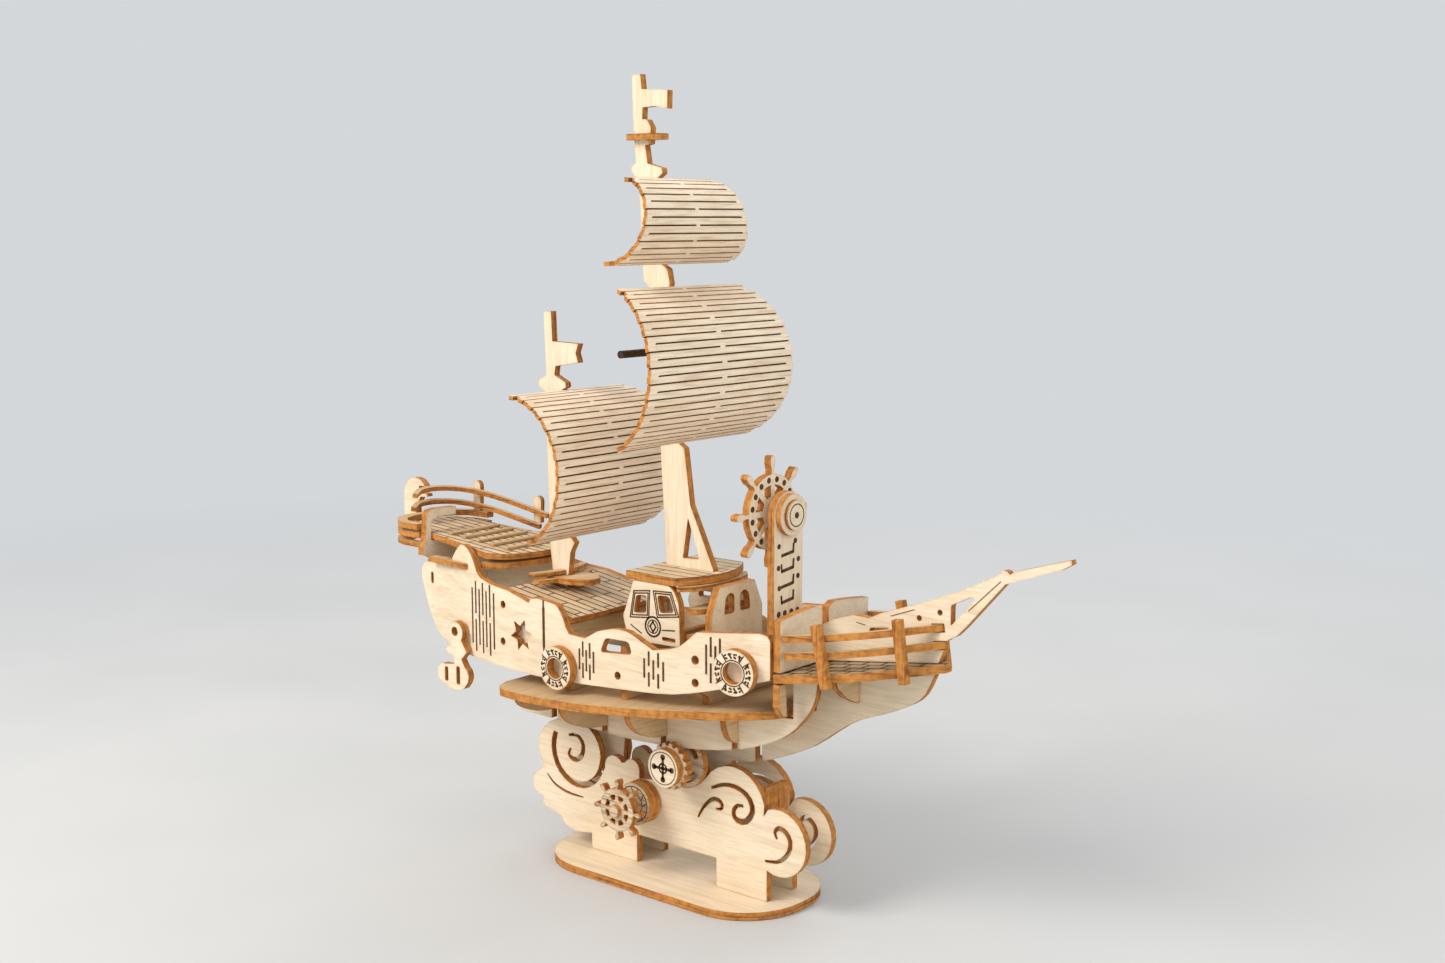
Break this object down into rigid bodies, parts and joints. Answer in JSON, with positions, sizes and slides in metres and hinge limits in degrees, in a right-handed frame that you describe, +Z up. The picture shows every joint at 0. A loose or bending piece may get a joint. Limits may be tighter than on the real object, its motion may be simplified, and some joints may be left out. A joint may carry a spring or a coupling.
{
  "type": "sailing ship model",
  "caption": "Laser-cut plywood jigsaw model of a sailing ship on a cloud-shaped stand, with bent slatted sails, a turning helm and turning discs.",
  "frame": {"origin": "middle of the base plate's underside, on the table", "axes": "+X to the bow, +Y to the ship's left side (away from the anchor-and-ring side seen first), +Z up"},
  "size_m": [0.2711, 0.0724, 0.2548],
  "materials": {
    "face_ply": "bare laser-cut plywood face, matt",
    "sail_ply": "bare thin plywood, kerfed so that it bends, matt",
    "deck_ply": "plywood with engraved planks, smoke-browned, matt",
    "edge_ply": "plywood shown by its scorched edges, matt",
    "dark_rod": "dark stained dowel, matt"
  },
  "bodies": {
    "hull": {"base_plate": "face_ply", "cloud_plate_near": "face_ply", "cloud_plate_far": "face_ply", "stand_tie": "edge_ply", "keel_centre": "face_ply", "keel_near": "face_ply", "keel_far": "face_ply", "rib_1": "edge_ply", "rib_2": "edge_ply", "rib_3": "edge_ply", "rib_4": "edge_ply", "bow_rib": "edge_ply", "lower_deck": "deck_ply", "frame_aft": "edge_ply", "frame_mid": "edge_ply", "frame_fore": "edge_ply", "side_panel_near": "face_ply", "side_panel_far": "face_ply", "life_ring_aft_near": "face_ply", "life_ring_aft_far": "face_ply", "life_ring_fore_near": "face_ply", "life_ring_fore_far": "face_ply", "anchor_near": "face_ply", "anchor_far": "face_ply", "main_deck": "deck_ply", "mizzen_collar": "edge_ply", "poop_deck": "deck_ply", "poop_step": "edge_ply", "gallery_1": "edge_ply", "gallery_2": "edge_ply", "gallery_3": "edge_ply", "stern_rail_lower": "edge_ply", "stern_rail_upper": "edge_ply", "stern_bulkhead": "face_ply", "stern_board": "face_ply", "fore_deck": "deck_ply", "fore_rail_lower": "edge_ply", "fore_rail_upper": "edge_ply", "fore_bracket_near": "edge_ply", "fore_bracket_far": "edge_ply", "helm_deck": "deck_ply", "bowsprit": "face_ply", "house_side_near": "face_ply", "house_side_far": "face_ply", "house_front": "face_ply", "house_roof": "deck_ply", "helm_post": "face_ply", "main_mast": "face_ply", "crows_nest": "edge_ply", "main_yard": "dark_rod", "mizzen_mast": "face_ply", "top_sail": "sail_ply", "main_sail": "sail_ply", "mizzen_sail": "sail_ply"},
    "cap": {"cap_disc": "deck_ply", "cap_axle": "face_ply"},
    "wheel": {"stand_wheel": "face_ply", "wheel_drum": "edge_ply"},
    "helm": {"helm_wheel": "face_ply", "helm_hub": "face_ply"}
  },
  "joints": [
    {"name": "cap_spin", "type": "hinge", "parent": "hull", "child": "cap", "pos_m": [0.0083, -0.0106, 0.0415], "axis": [0, 1, 0], "continuous": true},
    {"name": "wheel_spin", "type": "hinge", "parent": "hull", "child": "wheel", "pos_m": [-0.0099, -0.014, 0.0245], "axis": [0, 1, 0], "continuous": true},
    {"name": "helm_spin", "type": "hinge", "parent": "hull", "child": "helm", "pos_m": [0.0383, 0, 0.1227], "axis": [1, 0, 0], "continuous": true}
  ]
}
